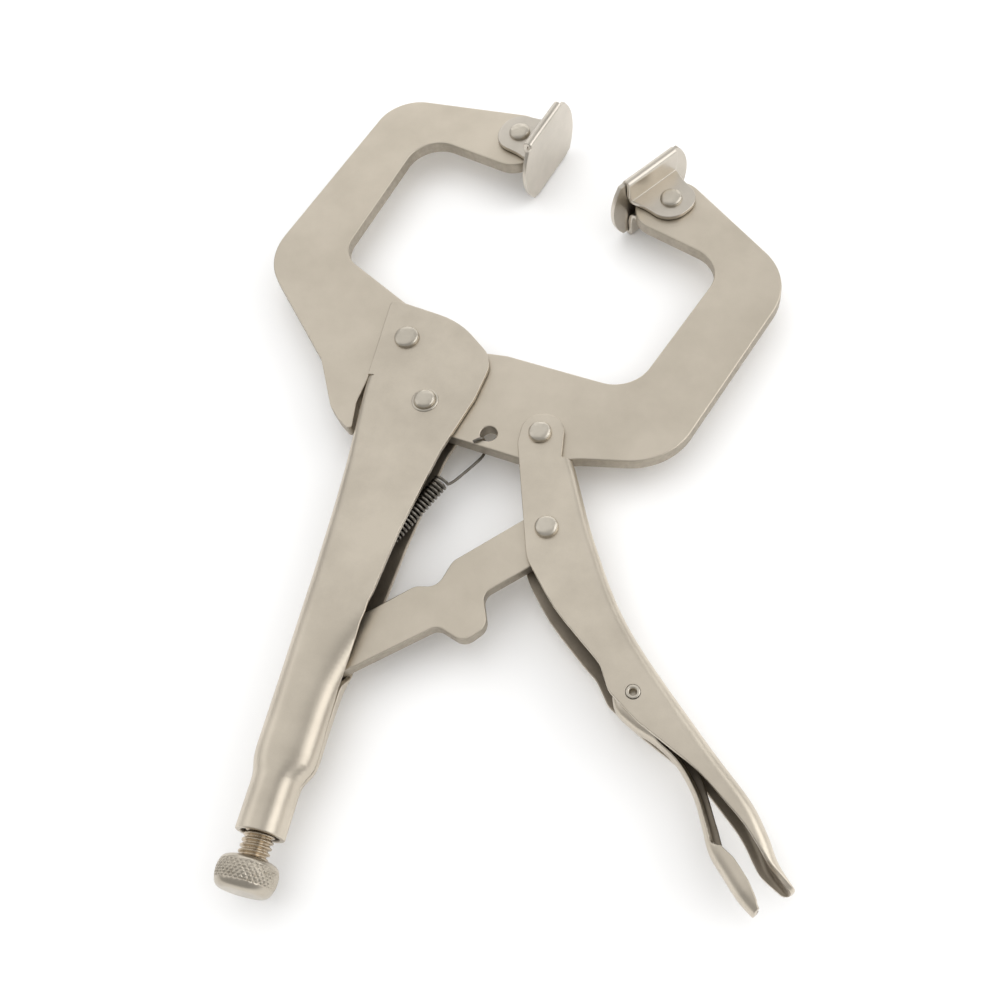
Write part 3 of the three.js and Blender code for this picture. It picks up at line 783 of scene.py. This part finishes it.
leverHandle = {
    "back": [
        (46.8, 2), (47.0, -6), (48.3, -12), (51.0, -17.8), (61, -39.4), (75.1, -62.8), (98.9, -88.6),
        (112.6, -102.2), (118.2, -110.0), (121.7, -116.2), (126.2, -121.2)],
    "side": 1,  # the walls are on the right, going down the back
    "wall": [
        [45.4, -12.7, 0], [44.5, -5.4, 3], [43.9, 1.0, 6.2], [31.3, 1.0, 6.2], [31.4, -9.9, 6],
        [42.6, -46.8, 14], [53.4, -60.6, 60], [69.2, -74.6, 8], [73.0, -81.8, 6], [81.6, -88.4, 12],
        [99.3, -98.2, 40], [112.2, -109.0, 30], [119.6, -117.6, 8], [125.0, -121.2, 0]],
    "sections": [
        (-0.3, 4.15, 2.4), (0.0, 4.15, 2.4), (0.24, 4.15, 2.4), (0.56, 6.1, 3.4), (0.88, 6.1, 3.6),
        (0.96, 4.9, 3.3), (1.0, 3.6, 2.7), (1.1, 3.0, 2.4)],
    "spineTop": 15.0,
    # along the lever: how much deeper the far wall is than the near one
    "farDeeper": [
        (0.0, 0.0), (0.22, 0.0), (0.32, 1.9), (0.48, 2.0), (0.56, 0.8), (0.64, 0.0), (0.76, 0.0), (0.84, 0.5),
        (0.90, 1.1), (0.96, 2.1), (1.0, 2.1), (1.1, 1.5)], "cutFrom": -8,
    "holes": [(37.4, -5.8, 2.55), (46.2, -36.5, 2.55), (79.4, -81, 1.9)],
    "edgeRadius": 0.3,
}


def leverEdges(toSheet, guide, sectionAt):
    tail = guide.length
    corners = roundedOutline(leverHandle["wall"], 6)
    run = spacedOut(corners, 1.5)
    run = run[:run.index(corners[-1]) + 1]  # without the closing stretch
    wall = [toSheet(x, y) for x, y in run]
    top = leverHandle["spineTop"]
    start = [(s, top) for s in (0.15, 1.0, 2.0, 3.0)]
    near = start + wall + [(1.7, tail - 0.2), (1.0, tail + 0.3), (0.15, tail + 0.5)]
    far = []
    deeperTable = [(-share, deeper) for share, deeper in leverHandle["farDeeper"]]
    for s, distance in near:
        deeper = smoothTable(deeperTable, -distance / tail)[0]
        far.append((s + deeper, distance))
    return near, far


makeFixedHandle()
makeGuidedChannel("leverHandleChannel", leverHandle, "lever_body", "lever_handle", leverEdges)
print("handles pressed")

# The rivets.

rivets = {
    "fixedJawRivet": {
        "at": (-12, 22), "head": 4.0, "seat": 4.15, "height": 1.7,
        "collar": 0, "body": "fixed_frame", "node": "fixed_jaw_rivet"},
    "jawPivotRivet": {
        "at": (0, 0), "head": 3.45, "seat": 4.15, "height": 1.9,
        "collar": 0.75, "body": "fixed_frame", "node": "jaw_pivot_rivet"},
    "leverRivet": {
        "at": (37.4, -5.8), "head": 3.5, "seat": 4.15, "height": 1.9,
        "collar": 0, "body": "lever_body", "node": "lever_rivet"},
    "linkRivet": {
        "at": (46.2, -36.5), "head": 3.45, "seat": 4.15, "height": 1.9,
        "collar": 0, "body": "lever_body", "node": "link_rivet"},
    "fixedPadRivet": {
        "at": (3.5, 112.6), "head": 3.6, "seat": 4.05, "height": 1.5,
        "collar": 0, "body": "fixed_frame", "node": "fixed_pad_rivet"},
    "movingPadRivet": {
        "at": (60, 89.3), "head": 3.6, "seat": 4.05, "height": 1.5,
        "collar": 0, "body": "moving_jaw_body", "node": "moving_pad_rivet"},
}


def makeRivet(name, rivet):
    # A hammered head: nearly upright sides, a round shoulder and a slightly domed, uneven top.
    head, seat, height, collar = (rivet[key] for key in ("head", "seat", "height", "collar"))
    foot = seat + 0.04
    dome = [(0, foot + height)]
    for k in range(1, 15):
        angle = math.pi / 2 * k / 14
        dome.append((head * math.sin(angle) ** 0.62, foot + height * max(math.cos(angle), 0) ** 0.62))
    if collar:
        dome += [(head + 0.05, foot + 0.3), (head + collar * 0.4, foot + 0.36)]
        dome += [(head + collar * 0.85, foot + 0.22), (head + collar, foot)]
    profile = [(r, -z) for r, z in dome] + [(2.5, -foot), (2.5, foot)] + list(reversed(dome))
    cx, cy = rivet["at"]

    def hammered(a, b, h):
        dent = noise.noise(Vector((cx + a * 0.55, cy + b * 0.55, h))) * 0.16
        return place(cx + a, cy + b, h + math.copysign(dent * smoothStep(foot, foot + height, abs(h)), h))

    mesh = turnedMesh(profile, 48, hammered)
    return finishPiece(name, mesh, "rivetSteel", rivet["body"], [rivet["node"]], 60)


for name, rivet in rivets.items():
    makeRivet(name, rivet)
print("rivets set")

# The swivel pads, each folded from one sheet.

swivelPad = {
    "face": 11.5, "radius": 16.5, "halfHeight": 12.4, "gap": 0.3, "earEnd": 7.3, "edgeRadius": 0.3,
    "notchHeight": 9.5, "foldHalf": 10.6}


def makeSwivelPad(name, pivot, angle, body, node):
    t = pliers["padSheet"] / 2
    face, radius, halfHeight = swivelPad["face"], swivelPad["radius"], swivelPad["halfHeight"]
    foldRadius = t + swivelPad["gap"] / 2
    foldStart = halfHeight - t - foldRadius
    foldEnd = foldStart + math.pi * foldRadius
    earBend = 1.1
    backRun = foldStart - (pliers["wallInside"] + t + earBend)
    bendStart = foldEnd + backRun
    bendEnd = bendStart + earBend * math.pi / 2
    backNormal = face - t - 2 * foldRadius
    earReach = backNormal - earBend + swivelPad["earEnd"]
    notch, fold = swivelPad["notchHeight"], swivelPad["foldHalf"]
    arc = math.degrees(math.asin(notch / radius))
    side = [(radius * math.cos(math.radians(a)), radius * math.sin(math.radians(a)))
            for a in [-arc + 2 * arc * k / 44 for k in range(45)]]
    corner = math.sqrt(radius ** 2 - notch ** 2)
    halfEar = [[corner, notch, 0], [corner - 0.9, notch + 1.35, 0.7], [fold, notch + 1.4, 0.5],
               [fold, bendStart - 1.5, 2.5], [8.4, bendEnd + 4.5, 8], [7.2, bendEnd + earReach, 7.15]]
    ear = roundedOutline(halfEar + [[-x, s, r] for x, s, r in reversed(halfEar)], 6)
    upperHalf = side + ear[1:-1] + [(-x, s) for x, s in reversed(side)]
    loop = spacedOut(upperHalf + [(x, -s) for x, s in reversed(ear[1:-1])], 1.2)
    pivotS = bendEnd + earReach - swivelPad["earEnd"]
    holes = [roundHole(0, pivotS, 2.55), roundHole(0, -pivotS, 2.55)]
    blank = stampedBlank([loop] + holes, pliers["padSheet"], swivelPad["edgeRadius"])
    turn = Matrix.Rotation(math.radians(angle), 2)

    def bend(along, s, lift):
        side = 1 if s >= 0 else -1
        s = abs(s)
        if s <= foldStart:
            n, z, nn, nz = face - t, s, 1.0, 0.0
        elif s <= foldEnd:
            a = (s - foldStart) / foldRadius
            n, z = face - t - foldRadius + foldRadius * math.cos(a), foldStart + foldRadius * math.sin(a)
            nn, nz = math.cos(a), math.sin(a)
        elif s <= bendStart:
            n, z, nn, nz = backNormal, foldStart - (s - foldEnd), -1.0, 0.0
        elif s <= bendEnd:
            a = (s - bendStart) / earBend
            n, z = backNormal - earBend + earBend * math.cos(a), foldStart - backRun - earBend * math.sin(a)
            nn, nz = -math.cos(a), math.sin(a)
        else:
            n, z, nn, nz = backNormal - earBend - (s - bendEnd), pliers["wallInside"] + t, 0.0, 1.0
        flat = turn @ Vector((n + nn * lift, along))
        return place(pivot[0] + flat.x, pivot[1] + flat.y, side * (z + nz * lift))

    cuts = [foldStart + (foldEnd - foldStart) * k / 12 for k in range(13)]
    cuts += [bendStart + (bendEnd - bendStart) * k / 6 for k in range(7)]
    mesh = scoreAndBend(blank, [], [-c for c in cuts] + cuts, bend)
    return finishPiece(name, mesh, "padSheet", body, [node], 50)


makeSwivelPad("fixedPadFold", (3.5, 112.6), -16.4, "fixed_pad_body", "fixed_pad")
makeSwivelPad("movingPadFold", (60, 89.3), 142.7, "moving_pad_body", "moving_pad")
print("pads folded")

# The release lever and its pin.

releaseLever = {
    "back": [
        (75.6, -75.4), (73.7, -80.0), (75.4, -85.2), (80.6, -89.0), (87.0, -91.9), (93.4, -96.4),
        (98.8, -103.4), (102.2, -110.6), (104.9, -116.8), (109.4, -122.2), (113.4, -126.6), (117.2, -129.6)],
    "sections": [
        (-0.2, 3.2, 2.2), (0.0, 3.2, 2.2), (0.3, 3.2, 2.2), (0.62, 3.6, 2.6), (0.76, 3.9, 3.2),
        (0.93, 3.8, 3.2), (1.1, 2.8, 2.4)],
    "side": -1,
    # along the lever: how far each side's flange goes, 1 being the end of its bend and the rest in mm
    "nearFlange": [
        (0.0, 4.0), (0.05, 6.2), (0.12, 6.6), (0.18, 5.0), (0.24, 2.2), (0.30, 0.8), (0.36, 0.45),
        (0.72, 0.45), (0.76, 1.1), (0.82, 2.2), (0.89, 2.3), (0.95, 1.7), (1.0, 0.8)],
    "farFlange": [
        (0.0, 4.0), (0.05, 5.8), (0.14, 5.6), (0.2, 4.9), (0.38, 4.2), (0.48, 3.2), (0.58, 2.2),
        (0.68, 2.0), (0.8, 1.8), (0.88, 2.0), (0.95, 1.7), (1.0, 0.8)],
    "cutFrom": -4, "holes": [], "edgeRadius": 0.3,
}


def releaseEdges(toSheet, guide, sectionAt):
    edges = []
    for key in ("nearFlange", "farFlange"):
        table = [(-share, reach) for share, reach in releaseLever[key]]
        edge = [(0.15, -0.2)]
        for k in range(91):
            share = k / 90
            reach = smoothTable(table, -share)[0]
            half, radius = sectionAt(share * guide.length)[:2]
            bend = radius - pliers["sheet"] / 2
            flat = half - radius
            s = flat + bend * math.pi / 2 * min(reach, 1) + max(reach - 1, 0)
            edge.append((s, share * guide.length))
        edges.append(edge + [(0.15, guide.length + 0.4)])
    return edges


releasePin = {"at": (79.4, -81.0), "outer": 1.75, "bore": 0.85, "reach": 6.25, "lip": 0.35}


def makeReleasePin():
    # A hollow pin whose ends are flared over the handle's walls.
    outer, bore, reach, lip = (releasePin[key] for key in ("outer", "bore", "reach", "lip"))
    end = [(bore, reach - 2.2), (bore, reach - 0.5), (bore + 0.25, reach - 0.05),
           (bore + 0.5, reach + lip * 0.4), (outer, reach + lip * 0.2), (outer + 0.15, reach - 0.05),
           (outer - 0.1, reach - 0.25)]
    profile = [(0, -reach + 2.2)] + [(r, -z) for r, z in end] + list(reversed(end)) + [(0, reach - 2.2)]
    x, y = releasePin["at"]
    mesh = turnedMesh(profile, 32, lambda a, b, h: place(x + a, y + b, h))
    return finishPiece("releasePinFlared", mesh, "rivetSteel", "release_body", [], 50)


makeGuidedChannel("releaseLeverChannel", releaseLever, "release_body", "release_lever", releaseEdges)
makeReleasePin()
print("release lever pressed")

# The adjusting screw, its knob and the return spring.

screw = {
    "axisX": -8.8, "radius": 4.2, "depth": 0.75, "pitch": 1.5, "tip": -96.5, "end": -141.9, "plain": 13.0}


def makeScrew():
    around = 40
    rowsPerTurn = 8
    rows = round((screw["tip"] - screw["end"]) / screw["pitch"] * rowsPerTurn)
    vertices, faces = [], []
    for i in range(rows + 1):
        y = screw["end"] + (screw["tip"] - screw["end"]) * i / rows
        fade = smoothStep(screw["tip"] - screw["plain"] + 1.5, screw["tip"] - screw["plain"] - 1.5, y)
        tipTaper = smoothStep(screw["tip"] - 1.4, screw["tip"], y)
        for k in range(around):
            phase = (y / screw["pitch"] + k / around) % 1.0
            crest = min(max(1.5 - abs(phase - 0.5) * 4.0, 0.0), 1.0)
            radius = screw["radius"] - screw["depth"] * (1 - crest * fade) - 1.0 * tipTaper
            angle = 2 * math.pi * k / around
            vertices.append(place(screw["axisX"] + radius * math.cos(angle), y, radius * math.sin(angle)))
    for i in range(rows):
        for k in range(around):
            n = (k + 1) % around
            faces.append((i * around + k, i * around + n, (i + 1) * around + n, (i + 1) * around + k))
    faces += [tuple(range(around)), tuple(rows * around + k for k in reversed(range(around)))]
    mesh = bpy.data.meshes.new("thread")
    mesh.from_pydata(vertices, [], faces)
    faceOutwards(mesh)
    return finishPiece("adjustingScrewThread", mesh, "threadSteel", "screw_body", ["adjusting_screw"], 60)


knob = {"radius": 8.1, "top": -142.2, "length": 8.8, "teeth": 34, "cut": 0.42}


def makeKnob():
    bandRows = 44
    top, end = knob["top"], knob["top"] - knob["length"]
    bandTop, bandEnd = top - 1.5, end + 2.1
    rows = [(0, top), (4.6, top), (6.0, top - 0.12), (6.9, top - 0.5), (7.5, top - 1.0)]
    for k in range(bandRows + 1):
        bulge = 1 - (2 * k / bandRows - 1) ** 2
        rows.append((knob["radius"] - 0.3 + 0.45 * bulge, bandTop + (bandEnd - bandTop) * k / bandRows))
    rows += [(7.65, end + 1.6), (7.3, end + 1.0), (6.8, end + 0.5), (6.1, end + 0.15), (5.2, end), (0, end)]

    def knurled(a, b, y):
        # Two crossing runs of slanted grooves round the band, worn unevenly.
        radius, angle = math.hypot(a, b), math.atan2(b, a) % (2 * math.pi)
        if bandEnd <= y <= bandTop:
            slant = (y - bandEnd) / 1.5
            turn = knob["teeth"] * angle / (2 * math.pi)
            ridgeA = abs((turn + slant) % 1.0 - 0.5) * 2
            ridgeB = abs((turn - slant) % 1.0 - 0.5) * 2
            edge = min(y - bandEnd, bandTop - y)
            wear = 0.75 + 0.5 * noise.noise(Vector((angle * 2.5, y * 0.9, 0)))
            groove = max(1 - 1.9 * min(ridgeA, ridgeB), 0.0) * smoothStep(0, 0.5, edge)
            radius -= knob["cut"] * groove * wear
        return place(screw["axisX"] + radius * math.cos(angle), y, radius * math.sin(angle))

    mesh = turnedMesh(rows, 9 * knob["teeth"], knurled)
    return finishPiece("knurledKnobTurned", mesh, "screwSteel", "knob_body", ["knurled_knob"], 60)


spring = {
    "coilTop": (11.3, -24.4, 0), "coilFoot": (-1.7, -51.4, 0), "radius": 2.1, "turns": 22, "wire": 0.45,
    "hook": [
        (17.9, -11.3, 2.85), (19.4, -10.2, 2.9), (20.4, -9.4, 2.2), (20.5, -9.2, 0), (20.5, -9.4, -2.2),
        (20.6, -10.4, -3.0), (20.3, -12.6, -3.0), (18.6, -16.2, -2.4), (15.8, -21.6, -1.1),
        (14.6, -23.8, -0.5)],
    "tail": [
        (-2.6, -54.6, 0.6), (-4.8, -57.6, 2.4), (-5.6, -60.2, 2.8), (-5.6, -62.3, 1.6), (-5.4, -62.4, -0.6)],
}


def makeSpring():
    top, foot = Vector(spring["coilTop"]), Vector(spring["coilFoot"])
    axis = (foot - top).normalized()
    up = Vector((0, 0, 1))
    across = up.cross(axis)
    steps = spring["turns"] * 20
    coil = []
    for k in range(steps + 1):
        share = k / steps
        angle = 2 * math.pi * spring["turns"] * share
        outward = across * math.cos(angle) + up * math.sin(angle)
        coil.append(top.lerp(foot, share) + outward * spring["radius"])
    lead = Guide([Vector(p) for p in spring["hook"]] + [coil[0], coil[2]], 10).points[:-10]
    run = Guide([coil[-3], coil[-1]] + [Vector(p) for p in spring["tail"]], 8).points[8:]
    path = lead + coil[1:-1] + run
    curve = bpy.data.curves.new("spring", "CURVE")
    curve.dimensions = "3D"
    curve.bevel_depth = spring["wire"] * mm
    curve.bevel_resolution = 3
    curve.use_fill_caps = True
    line = curve.splines.new("POLY")
    line.points.add(len(path) - 1)
    for point, spot in zip(line.points, path):
        point.co = (*place(*spot), 1)
    holder = bpy.data.objects.new("springLine", curve)
    bpy.context.scene.collection.objects.link(holder)
    bpy.context.view_layer.update()
    mesh = bpy.data.meshes.new_from_object(holder.evaluated_get(bpy.context.evaluated_depsgraph_get()))
    bpy.data.objects.remove(holder)
    coilSpring = finishPiece("returnSpringCoil", mesh, "springWire", None, ["return_spring"], 60)
    coilSpring.modifiers.clear()
    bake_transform(coilSpring)


makeScrew()
makeKnob()
makeSpring()
print("screw, knob and spring made")
